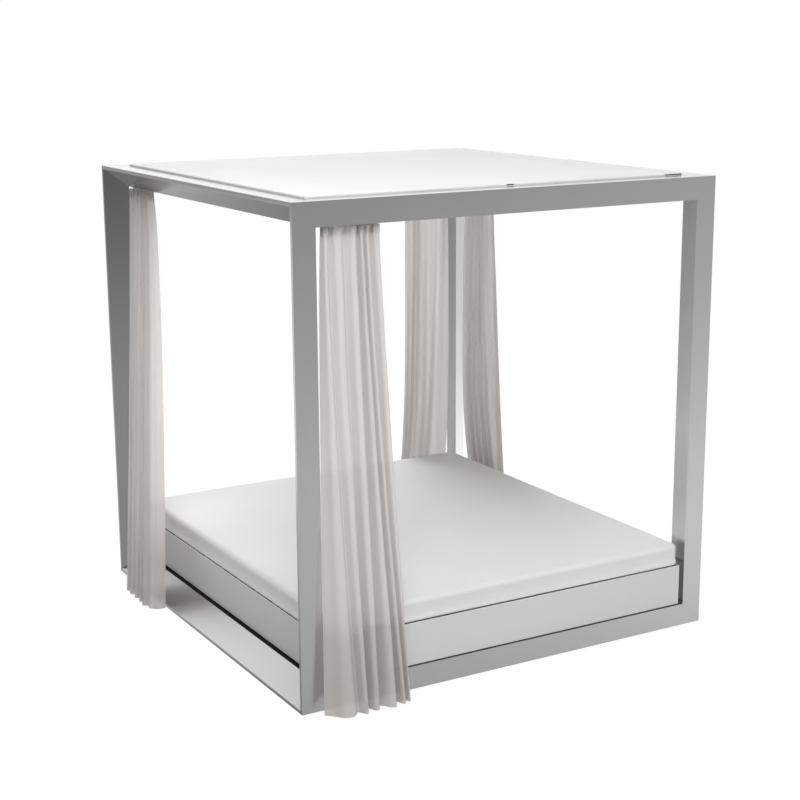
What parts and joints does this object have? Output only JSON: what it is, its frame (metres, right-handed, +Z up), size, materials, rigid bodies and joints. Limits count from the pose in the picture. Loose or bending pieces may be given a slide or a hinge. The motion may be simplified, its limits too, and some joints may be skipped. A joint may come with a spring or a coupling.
{
  "type": "outdoor daybed with canopy",
  "caption": "Cube-shaped outdoor daybed: mitred metal frame, flat fabric roof, panelled base with a mattress, and a sliding gathered curtain on each side.",
  "frame": {"origin": "on the floor under the centre of the square frame, which is the bottom centre of the bounding box", "axes": "+Z up, +X to the right as seen from the front, -Y out of the front, where one curtain hangs at the left"},
  "size_m": [2.2486, 2.343, 2.07],
  "materials": {
    "frame": "satin, clear anodised",
    "connector": "as cast",
    "pad": "matt",
    "track": "satin",
    "glider": "matt",
    "curtain": "woven, slightly see-through",
    "panel": "satin",
    "slat": "dark stained",
    "shadow": "matt black",
    "mattress": "coated outdoor fabric",
    "roof_fabric": "coated, taut",
    "structure": "mill finish"
  },
  "bodies": {
    "frame": {"base_joist_left": "structure", "base_joist_middle": "structure", "base_joist_right": "structure", "base_ledger_back": "structure", "base_ledger_front": "structure", "base_panel_back": "panel", "base_panel_front": "panel", "base_panel_left": "panel", "base_panel_right": "panel", "bottom_rail_back": "frame", "bottom_rail_front": "frame", "bottom_rail_left": "frame", "bottom_rail_right": "frame", "connector_bottom_back_left": "connector", "connector_bottom_back_right": "connector", "connector_bottom_front_left": "connector", "connector_bottom_front_right": "connector", "connector_top_back_left": "connector", "connector_top_back_right": "connector", "connector_top_front_left": "connector", "connector_top_front_right": "connector", "foot_pad_back_left": "pad", "foot_pad_back_right": "pad", "foot_pad_front_left": "pad", "foot_pad_front_right": "pad", "gap_closer_left": "shadow", "gap_closer_right": "shadow", "mattress": "mattress", "post_back_left": "frame", "post_back_right": "frame", "post_front_left": "frame", "post_front_right": "frame", "roof_cross_bar_1": "structure", "roof_cross_bar_2": "structure", "roof_drain_middle": "shadow", "roof_drain_right": "shadow", "roof_fabric": "roof_fabric", "roof_ledge_left": "structure", "roof_ledge_right": "structure", "roof_rail_back": "structure", "roof_rail_front": "structure", "roof_rail_left": "structure", "roof_rail_right": "structure", "slat_deck": "slat", "top_beam_back": "frame", "top_beam_front": "frame", "top_beam_left": "frame", "top_beam_right": "frame", "track_back": "track", "track_front": "track", "track_left": "track", "track_right": "track"},
    "front_curtain": {"curtain_front": "curtain", "gliders_front": "glider"},
    "left_curtain": {"curtain_left": "curtain", "gliders_left": "glider"},
    "back_curtain": {"curtain_back": "curtain", "gliders_back": "glider"},
    "right_curtain": {"curtain_right": "curtain", "gliders_right": "glider"}
  },
  "joints": [
    {"name": "front_curtain_slide", "type": "slide", "parent": "frame", "child": "front_curtain", "axis": [1, 0, 0], "range_m": [0, 1.5]},
    {"name": "left_curtain_slide", "type": "slide", "parent": "frame", "child": "left_curtain", "axis": [0, -1, 0], "range_m": [0, 1.35]},
    {"name": "back_curtain_slide", "type": "slide", "parent": "frame", "child": "back_curtain", "axis": [-1, 0, 0], "range_m": [0, 1.5]},
    {"name": "right_curtain_slide", "type": "slide", "parent": "frame", "child": "right_curtain", "axis": [0, -1, 0], "range_m": [0, 1.45]}
  ]
}
